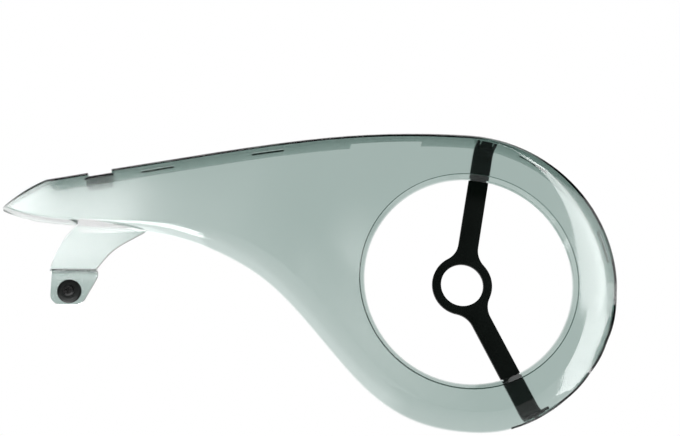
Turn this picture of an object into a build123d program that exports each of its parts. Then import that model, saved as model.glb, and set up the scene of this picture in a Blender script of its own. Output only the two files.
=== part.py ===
"""Bicycle chain guard: clear moulded shell, bottom-bracket bracket and rear fixing.

Frame: the crank axis is Y, +X points to the front of the bicycle, +Z is up.
The origin lies on the crank axis in the bracket's seat face; the shell's face looks to -Y.
All lengths are in millimetres, all angles in degrees from +X towards +Z.
"""
import os
from math import cos, radians, sin, sqrt

from build123d import *

# Depths along Y
seat_y = 0.0            # rear face of the bracket, against the bottom-bracket shell
face_y = -28.0          # front of the shell's face
rear_y = 5.0            # free edge of the flange
wall = 2.4              # wall of face, lip, arm and tab
flange_root = 2.2       # the flange thins from here
flange_edge = 1.2       # to its free edge
roll_d = 12.0           # depth of the rolled edge along the belly
back_d = 2.6            # depth of the tight corner along the back
roll_spans = 10         # facets round the roll
roll_y = face_y + roll_d
beyond = 1.0            # how far cutters reach past what they cut

# Ring round the crank
bore_r = 17.6           # clears the bottom-bracket thread
rim_r = 123.6           # outer rim
open_r = 84.4           # opening for crank and spider
open_x = 2.4            # the opening lies a little forward of the crank axis
lip_w = 4.0             # width of the lip, turned in like a funnel
lip_d = 6.0             # depth of the lip

# Where the rim starts and ends
rim_top = 87.0
rim_end = -74.0
flange_full = -56.0     # from here the flange tapers to its lower end
flange_blunt = 2.0      # height left at the lower end
flange_x = -338.4       # end of the flange at the tail

# Stations of the outline: X, Z, direction inwards, width and depth of the roll
rim_front_roll = 31.5   # at the very front of the rim
rim_top_roll = 4.0
rim_d = 4.4             # depth of the rim's shallow roll
rim_end_roll = 16.0
rim_spans = 12
belly = (
    (-7.2, -121.4, 85.0, 16.0, roll_d),
    (-38.6, -114.9, 71.0, 17.0, roll_d),
    (-70.0, -98.0, 52.5, 18.0, roll_d),
    (-101.6, -67.0, 43.0, 18.5, roll_d),
    (-133.7, -29.1, 41.0, 18.5, roll_d),
    (-166.2, 1.8, 53.5, 18.0, roll_d),
    (-198.9, 20.9, 64.0, 16.0, roll_d),
    (-231.6, 32.9, 76.5, 11.0, roll_d),
)
neck = (-256.8, 37.2, 84.2, 7.6, roll_d)
tail_low = ((-313.0, 42.4, 85.0, 3.6, roll_d), (-343.6, 45.0, 81.0, 3.0, roll_d))
tail_tip = (-374.6, 53.8, 20.0, 2.4, roll_d)
tail_brow = (-356.7, 68.8, -43.0, 2.6, back_d)
tail_horn = (-340.6, 78.3, -69.0, 2.6, back_d)
back = (
    (-250.0, 95.6, -79.7, 2.6, back_d),
    (-168.0, 110.6, -80.8, 2.6, back_d),
    (-85.0, 121.4, -85.5, 2.6, back_d),
)
tip_mitre = 1.66        # the sharp tip moves in further than its two edges
back_rise = 11.0        # slope of the back at the tail
tip_fall = 24.0         # slope of the underside at the tip

# Cut-outs of the flange
notch_x = -297.8
notch_long = 19.2
notch_drop = 4.2
notch_y = -9.0
slot_long = 27.0
slot_wide = 8.0
slot_y = -11.0
slot_xs = (-253.0, -162.0)
slot_rims = (59.0, 15.2)
relief_x = -61.5
relief_long = 61.0
relief_y = -9.0

# Rear arm with its set-back tab
arm_y = roll_y - wall
tab_y = -8.0
ledge_z = 6.4
ledge_left = -333.6
ledge_right = -297.0
arm_left = ((-312.7, 44.5), (-323.1, 32.0), (-329.6, 19.1), (ledge_left, ledge_z))
arm_right = ((-256.0, 39.5), (-269.2, 32.0), (-284.0, 22.3), (ledge_right, ledge_z))
tab_z = -21.2
tab_slant_x = -308.5    # foot of the tab's slanting side
tab_slant_z = 1.5       # top of the slanting side
tab_round = 8.0

# Bracket
bracket_t = 3.0
hub_r = 24.8
arm_w = 16.6
arm_up = 79.6           # directions of the two arms
arm_down = -63.6
arm_blend = 18.0
foot_play = 0.1         # foot to flange
foot_r = rim_r - flange_root - foot_play
foot_bend = 6.0         # inner bend between arm and foot
foot_up_y = -22.0       # front end of the upper foot, under the roll
foot_down_y = roll_y    # front end of the lower foot
foot_slope_y = roll_y   # from here the upper foot draws in to follow the roll
foot_draw = 1.0
lug_w = 8.4
lug_front = -15.5
lug_rear = -12.0
lug_play = 0.3
slit_w = 1.6
slit_at = 5.2
slit_y = -11.0
eye_r = 3.2
eye_hole_r = 1.3
eye_y = -12.5
eye_t = 2.4
eye_drop = 1.2          # eye stands off the curved flange

# Rear fixing: bush in the tab, screw through the bush
bush_x = -318.6
bush_z = -10.8
bush_r = 9.6
bush_neck_r = 6.0
bush_head = 4.8
bush_slope = 3.0
bush_collar_r = 7.6
bush_collar = 2.4
screw_r = 2.5
shoulder_r = 2.7        # plain shank that keeps the bush from being crushed
shoulder_out = 0.5      # how far it stands out behind the bush
screw_play = 0.05
screw_head_r = 4.6
screw_head_h = 3.2
screw_head_slope = 1.2
screw_seat = 1.6        # depth of the head's seat in the bush
screw_end_y = 10.0
screw_chamfer = 0.6
cross_w = 1.2
cross_l = 5.0
cross_d = 1.6

os.makedirs("parts", exist_ok=True)


def level(y):
    """Plane across the crank axis at depth y, drawn with X to the right and Z up."""
    return Plane.XZ.offset(-y)


def heading(angle):
    """Unit vector in the drawing plane."""
    return (cos(radians(angle)), sin(radians(angle)))


def moved(station, base, drop, thin, mitre=1.0):
    """A station of the outline at a drop below the face, drawn in by what is left of its roll."""
    x, z, inward, roll, depth = station
    share = 1.0 - sqrt(min(1.0, drop * roll_d / (depth * (roll_d - thin))))
    d = (base + (roll - base) * share) * mitre
    return (x + d * heading(inward)[0], z + d * heading(inward)[1])


def on_rim(k):
    """Station k of the rim; the roll is widest at the front and deepens towards the belly."""
    angle = rim_top + (rim_end - rim_top) * k / rim_spans
    far_roll, far_angle = (rim_top_roll, rim_top) if angle > 0 else (rim_end_roll, rim_end)
    far_d = rim_d if angle > 0 else roll_d
    far_share = sin(radians(90.0 * angle / far_angle)) ** 2
    roll = rim_front_roll + (far_roll - rim_front_roll) * far_share
    depth = rim_d + (far_d - rim_d) * far_share
    return (rim_r * heading(angle)[0], rim_r * heading(angle)[1], angle + 180.0, roll, depth)


def smooth(points, first, last):
    """Curve through points that leaves and arrives along given directions."""
    return Spline(*points, tangents=(first, last), tangent_scalars=(1.0, 1.0))


def outline(base, drop, thin):
    """Closed outline of the shell at a drop below the face, as a line in the drawing plane."""
    rim = [moved(on_rim(k), base, drop, thin) for k in range(rim_spans + 1)]
    under = [moved(s, base, drop, thin) for s in (*belly, neck, *tail_low)]
    tip = moved(tail_tip, base, drop, thin, tip_mitre)
    brow = moved(tail_brow, base, drop, thin)
    horn = moved(tail_horn, base, drop, thin)
    top = [moved(s, base, drop, thin) for s in back]
    join_rim = heading(rim_top - 90.0)
    leave_rim = heading(rim_end - 90.0)
    with BuildLine() as edge:
        if drop + thin >= roll_d:
            CenterArc((0, 0), rim_r - base, rim_top, rim_end - rim_top)
        else:
            smooth(rim, join_rim, leave_rim)
        smooth([rim[-1], *under, tip], leave_rim, heading(180.0 - tip_fall))
        ThreePointArc(tip, brow, horn)
        smooth([horn, *top, rim[0]], heading(back_rise), join_rim)
    return edge.line


def back_z(x):
    """Height of the back at x, between its stations."""
    marks = (tail_horn, *back)
    for a, b in zip(marks, marks[1:]):
        if a[0] <= x <= b[0]:
            return a[1] + (b[1] - a[1]) * (x - a[0]) / (b[0] - a[0])


def radial(angle):
    """Plane through the crank axis: first direction outwards, second along Y."""
    out = heading(angle)
    return Plane(origin=(0, 0, 0), x_dir=(out[0], 0, out[1]), z_dir=(-out[1], 0, out[0]))


def tangent(angle, r):
    """Plane that touches the circle r at an angle: first direction round the circle."""
    out = heading(angle)
    return Plane(
        origin=(r * out[0], 0, r * out[1]),
        x_dir=(-out[1], 0, out[0]),
        z_dir=(out[0], 0, out[1]),
    )


roll_steps = [(k / roll_spans) ** 2 for k in range(roll_spans + 1)]

# Outer form: lofted roll in front, straight flange behind it
with BuildPart() as form:
    for t in roll_steps:
        with BuildSketch(level(face_y + t * roll_d)):
            add(outline(0.0, t * roll_d, 0.0))
            make_face()
    loft(ruled=True)
    with BuildSketch(level(rear_y)):
        add(outline(0.0, roll_d, 0.0))
        make_face()
    extrude(amount=rear_y - roll_y)

# Hollow behind the face
with BuildPart() as hollow:
    for t in roll_steps:
        with BuildSketch(level(face_y + wall + t * (roll_d - wall))):
            add(outline(flange_root, t * (roll_d - wall), wall))
            make_face()
    loft(ruled=True)
    for y, t in ((roll_y, flange_root), (rear_y, flange_edge), (rear_y + beyond, flange_edge)):
        with BuildSketch(level(y)):
            add(outline(t, roll_d - wall, wall))
            make_face()
    loft(ruled=True)

with BuildPart() as guard_shell:
    add(form.part)
    add(hollow.part, mode=Mode.SUBTRACT)

    # Belly and tail tip keep only the roll: the flange is cut off behind it
    far = 2 * rim_r
    with BuildSketch(level(rear_y + beyond)):
        with BuildLine():
            Polyline(
                (flange_x, far),
                (flange_x, (tail_horn[1] + tail_low[1][1]) / 2),
                (neck[0], (neck[1] + back[0][1]) / 2),
                (0, 0),
                (far * heading(rim_end)[0], far * heading(rim_end)[1]),
                (-2 * far, far * heading(rim_end)[1]),
                (-2 * far, far),
                close=True,
            )
        make_face()
    extrude(amount=rear_y + beyond - roll_y, mode=Mode.SUBTRACT)

    # Taper at the lower end of the flange
    taper_mid = (rim_end + flange_full) / 2
    taper_half = rim_r * sin(radians((flange_full - rim_end) / 2))
    with BuildSketch(tangent(taper_mid, rim_r)):
        with BuildLine():
            Polyline(
                (-taper_half - wall, -roll_y - flange_blunt),
                (-taper_half, -roll_y - flange_blunt),
                (taper_half, -rear_y),
                (taper_half, -rear_y - beyond),
                (-taper_half - wall, -rear_y - beyond),
                close=True,
            )
        make_face()
    extrude(amount=4 * wall, both=True, mode=Mode.SUBTRACT)

    # Opening with its turned-in lip
    lip_r = open_r + lip_w
    lip_y = face_y + lip_d
    lip_root = lip_r + wall - wall * lip_w / lip_d
    with BuildSketch(level(face_y - beyond)):
        with Locations((open_x, 0)):
            Circle(lip_r)
    extrude(amount=-(wall + 2 * beyond), mode=Mode.SUBTRACT)
    with BuildSketch(Plane.XY):
        with BuildLine():
            Polyline(
                (open_x + lip_r, face_y),
                (open_x + open_r, lip_y),
                (open_x + open_r + wall, lip_y),
                (open_x + lip_root, face_y + wall),
                (open_x + lip_r, face_y + wall),
                close=True,
            )
        make_face()
    revolve(axis=Axis((open_x, 0, 0), (0, 1, 0)))

    # Notch, slots and relief along the back
    with BuildSketch(level(face_y - beyond)):
        with Locations((notch_x, back_z(notch_x))):
            Rectangle(notch_long, 2 * notch_drop, rotation=back_rise)
    extrude(amount=-(notch_y - face_y + beyond), mode=Mode.SUBTRACT)
    with BuildSketch(level(face_y)):
        with Locations((notch_x, back_z(notch_x) - notch_drop - flange_root / 2)):
            Rectangle(notch_long + 2 * flange_root, flange_root, rotation=back_rise)
    extrude(amount=-(notch_y - face_y))
    with BuildSketch(level(slot_y - slot_wide / 2)):
        for x in slot_xs:
            with Locations((x, back_z(x))):
                Rectangle(slot_long, 4 * wall, rotation=back_rise)
        for angle in slot_rims:
            with PolarLocations(rim_r, 1, start_angle=angle):
                Rectangle(4 * wall, slot_long)
    extrude(amount=-slot_wide, mode=Mode.SUBTRACT)
    with BuildSketch(level(rear_y + beyond)):
        with Locations((relief_x, rim_r)):
            Rectangle(relief_long, 2 * roll_d)
    extrude(amount=rear_y + beyond - relief_y, mode=Mode.SUBTRACT)

    # Slots that take the lugs of the bracket's feet
    with BuildSketch(level(lug_front - lug_play)):
        for angle in (arm_up, arm_down):
            with PolarLocations(rim_r, 1, start_angle=angle):
                Rectangle(4 * wall, lug_w + 2 * lug_play)
    extrude(amount=-(lug_rear - lug_front + 2 * lug_play), mode=Mode.SUBTRACT)

    # Rear arm behind the roll, ledge and set-back tab
    with BuildSketch(level(arm_y)):
        with BuildLine():
            Spline(*arm_left, tangents=(heading(229), heading(254)))
            Line(arm_left[-1], arm_right[-1])
            Spline(*arm_right[::-1], tangents=(heading(55), heading(27)))
            Line(arm_right[0], arm_left[0])
        make_face()
    extrude(amount=-wall)
    with BuildSketch(level(arm_y)):
        with Locations(((ledge_left + ledge_right) / 2, ledge_z - wall / 2)):
            Rectangle(ledge_right - ledge_left, wall)
    extrude(amount=arm_y - tab_y)
    with BuildSketch(level(tab_y)) as tab_face:
        with BuildLine():
            Polyline(
                (ledge_left, ledge_z),
                (ledge_left, tab_z),
                (tab_slant_x, tab_z),
                (ledge_right, tab_slant_z),
                (ledge_right, ledge_z),
                close=True,
            )
        make_face()
        fillet(tab_face.vertices().group_by(Axis.Y)[0], radius=tab_round)
        with Locations((bush_x, bush_z)):
            Circle(bush_neck_r, mode=Mode.SUBTRACT)
    extrude(amount=wall)

with BuildPart() as mounting_bracket:
    bend_r = foot_r - foot_bend - bracket_t
    with BuildSketch(level(seat_y)) as plate:
        Circle(hub_r)
        for angle in (arm_up, arm_down):
            with PolarLocations(bend_r / 2, 1, start_angle=angle):
                Rectangle(bend_r, arm_w)
        fillet(plate.vertices().group_by(SortBy.DISTANCE)[0], radius=arm_blend)
        Circle(bore_r, mode=Mode.SUBTRACT)
    extrude(amount=bracket_t)

    # Feet bent forward along the inside of the flange
    foot_start = seat_y - bracket_t - foot_bend
    for angle, end_y, draw in ((arm_up, foot_up_y, foot_draw), (arm_down, foot_down_y, 0.0)):
        with BuildSketch(radial(angle)):
            with BuildLine():
                Line((bend_r - beyond, seat_y), (bend_r, seat_y))
                CenterArc((bend_r, foot_start), foot_bend + bracket_t, 90, -90)
                Polyline(
                    (foot_r, foot_start),
                    (foot_r, max(foot_slope_y, end_y + beyond)),
                    (foot_r - draw, end_y),
                    (foot_r - bracket_t, end_y),
                    (foot_r - bracket_t, foot_start),
                )
                CenterArc((bend_r, foot_start), foot_bend, 0, 90)
                Polyline(
                    (bend_r, seat_y - bracket_t),
                    (bend_r - beyond, seat_y - bracket_t),
                    (bend_r - beyond, seat_y),
                )
            make_face()
        extrude(amount=arm_w / 2, both=True)
    with BuildSketch(level(seat_y)):
        Circle(foot_r)
    extrude(amount=seat_y - foot_up_y, mode=Mode.INTERSECT)

    # Slits that free the snap tongue of the upper foot
    with BuildSketch(level(foot_up_y - beyond)):
        with PolarLocations(foot_r, 1, start_angle=arm_up):
            with Locations((0, slit_at), (0, -slit_at)):
                Rectangle(4 * bracket_t, slit_w)
    extrude(amount=-(slit_y - foot_up_y + beyond), mode=Mode.SUBTRACT)

    # Lugs through the flange
    lug_r = (rim_r + foot_r - bracket_t / 2) / 2
    with BuildSketch(level(lug_front)):
        for angle in (arm_up, arm_down):
            with PolarLocations(lug_r, 1, start_angle=angle):
                Rectangle(2 * (rim_r - lug_r), lug_w)
    extrude(amount=-(lug_rear - lug_front))

    # Eye beside the lower foot
    with BuildSketch(tangent(arm_down, foot_r - eye_drop)):
        with Locations((arm_w / 2 + eye_r / 2, -eye_y)):
            Circle(eye_r)
            Circle(eye_hole_r, mode=Mode.SUBTRACT)
    extrude(amount=-eye_t)

rear_plane = Plane(origin=(bush_x, 0, bush_z), x_dir=(1, 0, 0), z_dir=(0, 0, 1))
rear_axis = Axis((bush_x, 0, bush_z), (0, 1, 0))
tab_front = tab_y - wall
bush_front = tab_front - bush_head
bush_rear = tab_y + bush_collar
seat_front = bush_front + screw_seat

with BuildPart() as rear_bush:
    with BuildSketch(rear_plane):
        with BuildLine():
            Polyline(
                (shoulder_r + screw_play, seat_front),
                (shoulder_r + screw_play, bush_rear),
                (bush_collar_r, bush_rear),
                (bush_collar_r, tab_y),
                (bush_neck_r, tab_y),
                (bush_neck_r, tab_front),
                (bush_r, tab_front),
                (bush_r, bush_front + bush_slope),
                (bush_r - 0.3 * bush_slope, bush_front + 0.3 * bush_slope),
                (bush_r - bush_slope, bush_front),
                (screw_head_r + screw_play, bush_front),
                (screw_head_r + screw_play, seat_front),
                close=True,
            )
        make_face()
    revolve(axis=rear_axis)

with BuildPart() as rear_screw:
    head_front = seat_front - screw_head_h
    with BuildSketch(level(seat_front)):
        with Locations((bush_x, bush_z)):
            Circle(screw_head_r)
    extrude(amount=screw_head_h)
    chamfer(rear_screw.edges().sort_by(Axis.Y)[0], length=screw_head_slope)
    with BuildSketch(level(seat_front)):
        with Locations((bush_x, bush_z)):
            Circle(shoulder_r)
    extrude(amount=-(bush_rear + shoulder_out - seat_front))
    with BuildSketch(level(bush_rear + shoulder_out)):
        with Locations((bush_x, bush_z)):
            Circle(screw_r)
    extrude(amount=-(screw_end_y - bush_rear - shoulder_out))
    chamfer(rear_screw.edges().sort_by(Axis.Y)[-1], length=screw_chamfer)
    with BuildSketch(level(head_front)):
        with Locations((bush_x, bush_z)):
            Rectangle(cross_l, cross_w)
            Rectangle(cross_w, cross_l)
    extrude(amount=-cross_d, mode=Mode.SUBTRACT)

guard_shell.part.label = "guard_shell"
mounting_bracket.part.label = "mounting_bracket"
rear_bush.part.label = "rear_bush"
rear_screw.part.label = "rear_screw"
export_step(guard_shell.part, "parts/guard_shell.step")
export_step(mounting_bracket.part, "parts/mounting_bracket.step")
export_step(rear_bush.part, "parts/rear_bush.step")
export_step(rear_screw.part, "parts/rear_screw.step")
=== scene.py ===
import math

import bmesh
import bpy
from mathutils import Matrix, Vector
from mathutils.bvhtree import BVHTree


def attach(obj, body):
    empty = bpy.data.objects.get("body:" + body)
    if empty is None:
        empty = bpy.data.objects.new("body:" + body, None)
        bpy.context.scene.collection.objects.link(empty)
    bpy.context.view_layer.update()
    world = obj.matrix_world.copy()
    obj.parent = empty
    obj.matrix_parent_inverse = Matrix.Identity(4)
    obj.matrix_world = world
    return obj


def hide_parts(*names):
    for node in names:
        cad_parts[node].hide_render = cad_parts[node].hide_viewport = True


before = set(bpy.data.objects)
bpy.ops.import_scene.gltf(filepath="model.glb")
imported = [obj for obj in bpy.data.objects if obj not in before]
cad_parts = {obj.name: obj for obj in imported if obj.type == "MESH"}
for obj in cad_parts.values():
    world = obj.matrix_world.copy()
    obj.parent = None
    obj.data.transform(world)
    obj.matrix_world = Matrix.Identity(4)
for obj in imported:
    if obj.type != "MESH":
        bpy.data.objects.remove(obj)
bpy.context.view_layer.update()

scene = bpy.context.scene
MM = 0.001
WHITE = (1.0, 1.0, 1.0, 1.0)
ACROSS = (1.0, 0.0, 0.0)
BACK = (0.0, 1.0, 0.0)
UP = (0.0, 0.0, 1.0)
# Range that most of a noise texture's values lie in
NOISE_LOW = 0.3
NOISE_HIGH = 0.7


# Node helpers
def new_material(name):
    mat = bpy.data.materials.new(name)
    mat.use_nodes = True
    mat.node_tree.nodes.clear()
    return mat, mat.node_tree


def node(tree, kind, **inputs):
    made = tree.nodes.new(kind)
    for key, value in inputs.items():
        made.inputs[key.replace("_", " ")].default_value = value
    return made


def link(tree, a, b):
    tree.links.new(a, b)


def noise(tree, coords, scale, detail):
    made = node(tree, "ShaderNodeTexNoise", Scale=scale, Detail=detail, Roughness=0.5)
    link(tree, coords.outputs["Object"], made.inputs["Vector"])
    return made.outputs["Fac"]


def span(tree, source, low, high, start=0.0, end=1.0):
    """Value that goes from low to high while the source goes from start to end."""
    made = node(tree, "ShaderNodeMapRange", From_Min=start, From_Max=end, To_Min=low, To_Max=high)
    link(tree, source, made.inputs["Value"])
    return made.outputs["Result"]


def tinted(tree, source, dark, light):
    """Colour that goes from dark to light over a noise value."""
    ramp = tree.nodes.new("ShaderNodeValToRGB")
    marks = ramp.color_ramp.elements
    marks[0].position = NOISE_LOW
    marks[0].color = (*dark, 1.0)
    marks[1].position = NOISE_HIGH
    marks[1].color = (*light, 1.0)
    link(tree, source, ramp.inputs["Fac"])
    return ramp.outputs["Color"]


def bumped(tree, source, strength, distance):
    made = node(tree, "ShaderNodeBump", Strength=strength, Distance=distance)
    link(tree, source, made.inputs["Height"])
    return made.outputs["Normal"]


def combined(tree, operation, a, b):
    made = tree.nodes.new("ShaderNodeMath")
    made.operation = operation
    link(tree, a, made.inputs[0])
    link(tree, b, made.inputs[1])
    return made.outputs["Value"]


def mixed(tree, share, a, b):
    """Shader a where the share is 0 and shader b where it is 1."""
    made = tree.nodes.new("ShaderNodeMixShader")
    link(tree, share, made.inputs["Fac"])
    link(tree, a, made.inputs[1])
    link(tree, b, made.inputs[2])
    return made.outputs["Shader"]


# Materials
def clear_smoke():
    """Clear plastic with faint flow waves, whose tint deepens with its thickness."""
    mat, tree = new_material("clear_smoke")
    coords = tree.nodes.new("ShaderNodeTexCoord")
    flow = noise(tree, coords, scale=9.0, detail=2.0)
    fine = noise(tree, coords, scale=140.0, detail=3.0)
    shader = node(tree, "ShaderNodeBsdfPrincipled", IOR=1.5, Transmission_Weight=1.0)
    tone = tinted(tree, flow, dark=(0.955, 0.975, 0.97), light=(0.985, 0.995, 0.99))
    link(tree, tone, shader.inputs["Base Color"])
    rough = span(tree, fine, low=0.07, high=0.11, start=NOISE_LOW, end=NOISE_HIGH)
    link(tree, rough, shader.inputs["Roughness"])
    wave = bumped(tree, flow, strength=0.05, distance=0.0006)
    link(tree, wave, shader.inputs["Normal"])
    inside = node(tree, "ShaderNodeVolumeAbsorption", Color=(0.257, 0.414, 0.371, 1.0), Density=500.0)
    out = tree.nodes.new("ShaderNodeOutputMaterial")
    link(tree, shader.outputs["BSDF"], out.inputs["Surface"])
    link(tree, inside.outputs["Volume"], out.inputs["Volume"])
    return mat


def dark_surface(name, dark, light, rough_low, rough_high, grain, depth, gloss):
    """Near-black surface with a clouded tone and a fine grain of the given depth."""
    mat, tree = new_material(name)
    coords = tree.nodes.new("ShaderNodeTexCoord")
    cloud = noise(tree, coords, scale=35.0, detail=4.0)
    fine = noise(tree, coords, scale=grain, detail=2.0)
    shader = node(tree, "ShaderNodeBsdfPrincipled", IOR=1.46, Specular_IOR_Level=gloss)
    tone = tinted(tree, cloud, dark, light)
    link(tree, tone, shader.inputs["Base Color"])
    rough = span(tree, cloud, rough_low, rough_high, start=NOISE_LOW, end=NOISE_HIGH)
    link(tree, rough, shader.inputs["Roughness"])
    skin = bumped(tree, fine, strength=0.25, distance=depth)
    link(tree, skin, shader.inputs["Normal"])
    out = tree.nodes.new("ShaderNodeOutputMaterial")
    link(tree, shader.outputs["BSDF"], out.inputs["Surface"])
    return mat


def paper_floor(name, colour):
    """Pale paper that also looks white through clear plastic, and still takes a shadow.

    In gloss it is white behind the guard and dim in front of it.
    """
    darker = 0.985
    white_share = 0.85
    mat, tree = new_material(name)
    coords = tree.nodes.new("ShaderNodeTexCoord")
    cloud = noise(tree, coords, scale=3.0, detail=2.0)
    shader = node(tree, "ShaderNodeBsdfPrincipled", Roughness=0.9, Specular_IOR_Level=0.1)
    tone = tinted(tree, cloud, dark=[c * darker for c in colour], light=colour)
    link(tree, tone, shader.inputs["Base Color"])
    glow = node(tree, "ShaderNodeEmission", Color=WHITE, Strength=1.0)
    rays = tree.nodes.new("ShaderNodeLightPath")
    axes = tree.nodes.new("ShaderNodeSeparateXYZ")
    link(tree, coords.outputs["Object"], axes.inputs["Vector"])
    behind = span(tree, axes.outputs["Y"], low=0.15, high=1.0, start=-0.1, end=0.4)
    glossy = combined(tree, "MULTIPLY", rays.outputs["Is Glossy Ray"], behind)
    direct = combined(tree, "MAXIMUM", rays.outputs["Is Camera Ray"], glossy)
    seen = combined(tree, "MAXIMUM", direct, rays.outputs["Is Transmission Ray"])
    share = span(tree, seen, low=0.0, high=white_share)
    surface = mixed(tree, share, shader.outputs["BSDF"], glow.outputs["Emission"])
    out = tree.nodes.new("ShaderNodeOutputMaterial")
    link(tree, surface, out.inputs["Surface"])
    return mat


def dress(obj, mat):
    obj.data.materials.clear()
    obj.data.materials.append(mat)


# Pieces copied from the CAD nodes
def copied(name, source, mat):
    """The CAD node's shape as one welded mesh, smooth over its round stretches."""
    weld = 2e-6
    sharp_from = math.radians(28)
    mesh = bpy.data.meshes.new(name)
    work = bmesh.new()
    work.from_mesh(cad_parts[source].data)
    bmesh.ops.remove_doubles(work, verts=work.verts, dist=weld)
    bmesh.ops.dissolve_degenerate(work, edges=work.edges, dist=weld)
    bmesh.ops.recalc_face_normals(work, faces=work.faces)
    for face in work.faces:
        face.smooth = True
    for edge in work.edges:
        sharp = len(edge.link_faces) == 2 and edge.calc_face_angle() > sharp_from
        edge.smooth = not sharp
    work.to_mesh(mesh)
    work.free()
    obj = bpy.data.objects.new(name, mesh)
    scene.collection.objects.link(obj)
    even = obj.modifiers.new("even", "WEIGHTED_NORMAL")
    even.keep_sharp = True
    even.weight = 90
    dress(obj, mat)
    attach(obj, "root")
    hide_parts(source)


smoke = clear_smoke()
copied("clear_shell", "guard_shell", smoke)
black = dark_surface("black_plastic", dark=(0.0012, 0.0032, 0.0020), light=(0.0020, 0.0046, 0.0032),
                     rough_low=0.28, rough_high=0.36, grain=2600.0, depth=0.00004, gloss=0.05)
copied("bracket", "mounting_bracket", black)
rubber = dark_surface("black_rubber", dark=(0.0022, 0.0028, 0.0026), light=(0.0042, 0.0050, 0.0047),
                      rough_low=0.36, rough_high=0.50, grain=1800.0, depth=0.00005, gloss=0.07)
copied("bush", "rear_bush", rubber)
lacquer = dark_surface("black_screw", dark=(0.0030, 0.0032, 0.0032), light=(0.0060, 0.0062, 0.0062),
                       rough_low=0.30, rough_high=0.42, grain=2200.0, depth=0.00003, gloss=0.09)
copied("screw", "rear_screw", lacquer)


# Small moulded forms of the shell
shell_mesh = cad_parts["guard_shell"].data
shell_points = [v.co for v in shell_mesh.vertices]
shell_faces = [p.vertices for p in shell_mesh.polygons]
shell_skin = BVHTree.FromPolygons(shell_points, shell_faces)
seat_gap = 0.03 * MM


def overhead(x, y, z):
    """Height of the shell's surface straight above a point."""
    return shell_skin.ray_cast(Vector((x, y, z)), Vector(UP))[0].z


def moulded(name, points, faces):
    mesh = bpy.data.meshes.new(name)
    work = bmesh.new()
    corners = [work.verts.new(p) for p in points]
    for face in faces:
        work.faces.new([corners[i] for i in face])
    bmesh.ops.recalc_face_normals(work, faces=work.faces)
    work.to_mesh(mesh)
    work.free()
    obj = bpy.data.objects.new(name, mesh)
    scene.collection.objects.link(obj)
    dress(obj, smoke)
    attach(obj, "root")


def arm_fillet():
    """Slanting fillet in the corner between the tail's rolled edge and the front of the rear arm.

    It is a row of three-cornered sections that widen from right to left.
    """
    arm_front = -18.4 * MM
    furthest_front = -27.2 * MM
    left = -313.0 * MM
    right = -257.0 * MM
    below_z = -10.0 * MM
    least_width = 0.2 * MM
    spread = 0.2
    stations = 40
    rear_y = arm_front - seat_gap
    points = []
    for k in range(stations + 1):
        x = left + (right - left) * k / stations
        y = max(furthest_front, arm_front - least_width - spread * (right - x))
        front_z = overhead(x, y, below_z) - seat_gap
        rear_z = overhead(x, rear_y, below_z) - seat_gap
        points += [(x, y, front_z), (x, rear_y, rear_z), (x, rear_y, front_z - (rear_y - y))]
    last = 3 * stations
    faces = [(0, 1, 2), (last, last + 2, last + 1)]
    for k in range(stations):
        a = 3 * k
        b = a + 3
        faces += [(a + i, a + (i + 1) % 3, b + (i + 1) % 3, b + i) for i in range(3)]
    moulded("arm_fillet", points, faces)


def notch_ribs():
    """Fine upright ribs under the floor of the notch in the back."""
    middle = -297.8 * MM
    long = 19.2 * MM
    filled = 0.94
    count = 9
    front = -25.3 * MM
    rear = -9.3 * MM
    tall = 4.8 * MM
    thick = 0.8 * MM
    inside_z = 70.0 * MM
    quads = ((0, 1, 3, 2), (4, 5, 7, 6), (0, 1, 5, 4), (2, 3, 7, 6), (0, 2, 6, 4), (1, 3, 7, 5))
    points = []
    faces = []
    for k in range(count):
        x = middle + long * (k / (count - 1) - 0.5) * filled
        sides = (x - thick / 2, x + thick / 2)
        top = min(overhead(side, y, inside_z) for side in sides for y in (front, rear)) - seat_gap
        first = len(points)
        points += [(side, y, z) for z in (top - tall, top) for y in (front, rear) for side in sides]
        faces += [tuple(first + i for i in quad) for quad in quads]
    moulded("notch_ribs", points, faces)


arm_fillet()
notch_ribs()

# Floor far below: the photograph's camera looks up from under the guard
floor_z = -0.9
floor_size = 40.0
bpy.ops.mesh.primitive_plane_add(size=floor_size, location=(0.0, 0.0, floor_z))
floor = bpy.context.object
floor.name = "floor"
dress(floor, paper_floor("floor_paper", (0.92, 0.92, 0.92)))


# Light
def aimed(obj, place, target):
    """Puts a lamp or camera at a place and turns it towards a target."""
    obj.location = place
    obj.rotation_mode = "QUATERNION"
    obj.rotation_quaternion = (Vector(target) - Vector(place)).to_track_quat("-Z", "Y")


def along(direction, stops):
    """Fade by the distance along a direction; each stop is a distance and a share of the light."""
    return "DOT_PRODUCT", direction, stops


def away(point, stops):
    """Fade by the distance from a point; each stop is a distance and a share of the light."""
    return "DISTANCE", point, stops


def faded(tree, coords, fade):
    """Share of the light that one fade leaves, as a grey colour."""
    operation, vector, stops = fade
    measure = tree.nodes.new("ShaderNodeVectorMath")
    measure.operation = operation
    measure.inputs[1].default_value = vector
    link(tree, coords.outputs["Object"], measure.inputs[0])
    low = stops[0][0]
    high = stops[-1][0]
    place = span(tree, measure.outputs["Value"], low=0.0, high=1.0, start=low, end=high)
    ramp = tree.nodes.new("ShaderNodeValToRGB")
    marks = ramp.color_ramp.elements
    marks[0].color = (stops[0][1],) * 3 + (1.0,)
    marks[1].color = (stops[-1][1],) * 3 + (1.0,)
    for at, share in stops[1:-1]:
        marks.new((at - low) / (high - low)).color = (share, share, share, 1.0)
    link(tree, place, ramp.inputs["Fac"])
    return ramp.outputs["Color"]


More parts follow.
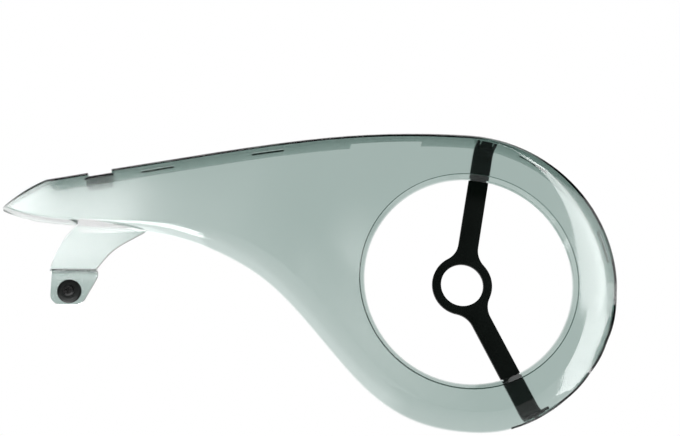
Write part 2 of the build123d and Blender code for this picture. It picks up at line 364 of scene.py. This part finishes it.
def panel(name, corners, radiance, fades=()):
    """Bright card that shows in gloss only, with its light scaled by each of its fades."""
    mesh = bpy.data.meshes.new(name)
    mesh.from_pydata([Vector(c) for c in corners], [], [list(range(len(corners)))])
    obj = bpy.data.objects.new(name, mesh)
    scene.collection.objects.link(obj)
    mat, tree = new_material(name)
    coords = tree.nodes.new("ShaderNodeTexCoord")
    glow = node(tree, "ShaderNodeEmission", Color=WHITE, Strength=radiance)
    level = None
    for fade in fades:
        share = faded(tree, coords, fade)
        if level is None:
            level = share
        else:
            both = tree.nodes.new("ShaderNodeVectorMath")
            both.operation = "MULTIPLY"
            link(tree, level, both.inputs[0])
            link(tree, share, both.inputs[1])
            level = both.outputs["Vector"]
    if level is not None:
        link(tree, level, glow.inputs["Color"])
    out = tree.nodes.new("ShaderNodeOutputMaterial")
    link(tree, glow.outputs["Emission"], out.inputs["Surface"])
    dress(obj, mat)
    obj.visible_camera = False
    obj.visible_transmission = False
    obj.visible_diffuse = False
    obj.visible_shadow = False


def upright(points):
    """Corners of a card that stands in front of the guard, from their x and z."""
    card_y = -1.0
    return [(x, card_y, z) for x, z in points]


def below(points, z):
    """Corners of a card that lies level at a height, from their x and y."""
    return [(x, y, z) for x, y in points]


def aside(points):
    """Corners of a card that stands to the front right, from their places across and up it."""
    azimuth = math.radians(50.0)
    distance = 1.1
    ring_side = Vector((0.09, -0.025, -0.06))
    foot = ring_side + Vector((math.sin(azimuth), -math.cos(azimuth), 0.0)) * distance
    level = Vector((math.cos(azimuth), math.sin(azimuth), 0.0))
    return [foot + level * u + Vector((0.0, 0.0, v)) for u, v in points]


# Cards placed where the photograph's reflections come from
# Bright face of the tail
left = [(-0.80, 0.40), (-0.537, 0.40), (-0.537, 0.3795), (-0.5225, 0.3672), (-0.12, 0.437),
        (-0.12, 0.20), (-0.40, 0.20), (-0.40, 0.236), (-0.80, 0.236)]
left_along = ((-0.692, 1.0), (-0.642, 0.96), (-0.592, 0.77), (-0.532, 0.725), (-0.497, 0.70),
              (-0.482, 0.58), (-0.470, 0.43), (-0.457, 0.30), (-0.432, 0.20), (-0.408, 0.15),
              (-0.359, 0.11), (-0.310, 0.10), (-0.272, 0.04), (-0.212, 0.0))
left_up = ((0.236, 1.0), (0.27, 0.97), (0.32, 0.77), (0.345, 0.69), (0.375, 0.48), (0.40, 0.42))
left_tip = ((0.685, 0.625), (0.695, 0.74), (0.705, 0.84), (0.714, 0.93), (0.72, 1.0))
left_fades = [along((1.0, 0.0, -0.257), left_along), along(UP, left_up), along((-0.64, 0.0, 1.0), left_tip)]
panel("card_left", upright(left), radiance=27.8, fades=left_fades)

# Crescent on the right of the ring
right = [(0.37, 0.179), (1.35, -0.022), (1.6, 1.25), (0.37, 0.95)]
right_along = ((0.37, 0.55), (0.42, 0.70), (0.60, 0.78), (0.70, 0.93), (0.82, 1.0), (0.88, 0.34),
               (1.0, 0.2), (1.4, 0.15))
panel("card_right", upright(right), radiance=12.0, fades=[along(ACROSS, right_along)])
low_right = [(-0.56, 0.24), (-0.50, -0.02), (0.08, -0.56), (0.40, -0.95), (0.60, -0.83),
             (0.27, -0.42), (0.045, -0.2), (-0.03, -0.067), (-0.05, 0.07), (-0.17, 0.115),
             (-0.40, 0.185)]
panel("card_low_right", aside(low_right), radiance=10.0)
right_edge = [(0.86, 0.079), (1.35, -0.022), (1.35, 0.27), (0.86, 0.27)]
panel("card_right_edge", upright(right_edge), radiance=7.0)

# Bevel under the tail, and the fillet of the arm
tail = [(-0.262, -0.16), (-0.252, 0.05), (-0.252, 0.3), (-0.7, 0.3), (-0.7, 0.05), (-0.435, 0.05),
        (-0.435, 0.02), (-0.365, 0.02), (-0.365, -0.05), (-0.7, -0.05), (-0.7, -0.4), (-0.33, -0.4)]
tail_back = ((-0.4, 1.0), (-0.035, 1.0), (-0.01, 0.5), (0.015, 0.5), (0.04, 0.75), (0.05, 0.75),
             (0.1, 0.55), (0.2, 0.4), (0.3, 0.3))
panel("card_tail", below(tail, z=-0.05), radiance=11.0, fades=[along(BACK, tail_back)])
arm = [(-0.335, -0.075), (-0.25, -0.075), (-0.25, -0.025), (-0.335, -0.025)]
panel("card_arm", below(arm, z=-0.045), radiance=18.0)

# Soft light along the lower edge, between the tail and the ring
belly = [(-1.15, -1.0), (-0.25, -1.0), (-0.25, 0.3), (-1.15, 0.3)]
belly_back = ((-1.0, 0.6), (-0.55, 0.6), (-0.2, 1.0))
belly_side = ((-0.45, 1.0), (-0.25, 0.1))
belly_fades = [along(BACK, belly_back), along(ACROSS, belly_side)]
panel("card_belly", below(belly, z=-0.6), radiance=3.0, fades=belly_fades)
front = [(-0.215, 0.285), (-0.13, 0.36), (0.16, 0.02), (0.05, -0.1), (-0.55, -0.6), (-1.15, -0.6),
         (-0.55, -0.05)]
front_down = ((-0.15, 0.0), (-0.11, 0.45), (-0.075, 1.0))
front_along = ((-0.02, 1.0), (0.06, 0.25))
front_fades = [along((-0.7, 0.0, -0.7), front_down), along(ACROSS, front_along)]
panel("card_belly_front", upright(front), radiance=1.7, fades=front_fades)

# Soft light on the left of the ring
ring = [(-0.1, 0.36), (0.02, 0.36), (0.02, 0.2), (0.16, 0.03), (0.16, -0.03), (0.0, -0.02), (-0.1, 0.12)]
ring_out = ((0.194, 1.0), (0.203, 0.87), (0.22, 0.42), (0.237, 0.18), (0.2535, 0.0))
ring_left = ((-0.1515, 0.12), (-0.0755, 1.0))
ring_fades = [away((0.16, -1.0, 0.2245), ring_out), along((-0.891, 0.0, -0.454), ring_left)]
panel("card_ring", upright(ring), radiance=4.4, fades=ring_fades)

# Soft square lamp from the upper left
key_size = 1.0
key_radiance = 3.5
key = bpy.data.lights.new("key", "AREA")
key.shape = "RECTANGLE"
key.size = key_size
key.size_y = key_size
key.energy = key_radiance * math.pi * key_size * key_size
lamp = bpy.data.objects.new("key", key)
scene.collection.objects.link(lamp)
lamp.visible_camera = False
lamp.visible_transmission = False
aimed(lamp, place=(-0.6, -0.9, 1.5), target=(-0.1, 0.0, 0.0))

# World: white to the camera and through the plastic, and otherwise dim in front of the guard
world = bpy.data.worlds.new("studio")
world.use_nodes = True
scene.world = world
tree = world.node_tree
tree.nodes.clear()
rays = tree.nodes.new("ShaderNodeLightPath")
coords = tree.nodes.new("ShaderNodeTexCoord")
axes = tree.nodes.new("ShaderNodeSeparateXYZ")
link(tree, coords.outputs["Generated"], axes.inputs["Vector"])
behind = span(tree, axes.outputs["Y"], low=0.04, high=1.0, start=-0.15, end=0.1)
studio = node(tree, "ShaderNodeBackground", Strength=1.0)
link(tree, behind, studio.inputs["Color"])
paper = node(tree, "ShaderNodeBackground", Color=WHITE, Strength=1.0)
seen = combined(tree, "MAXIMUM", rays.outputs["Is Camera Ray"], rays.outputs["Is Transmission Ray"])
surface = mixed(tree, seen, studio.outputs["Background"], paper.outputs["Background"])
out = tree.nodes.new("ShaderNodeOutputWorld")
link(tree, surface, out.inputs["Surface"])

# Camera at the photograph's angle: from below and a little to the left
lens = bpy.data.cameras.new("camera")
lens.lens = 63.38
lens.sensor_width = 36.0
lens.sensor_fit = "HORIZONTAL"
lens.clip_start = 0.02
lens.clip_end = 80.0
eye = bpy.data.objects.new("camera", lens)
scene.collection.objects.link(eye)
aimed(eye, place=(-0.15105, -0.95994, -0.21886), target=(-0.10074, 0.0, 0.05678))
scene.camera = eye

scene.view_settings.view_transform = "Standard"
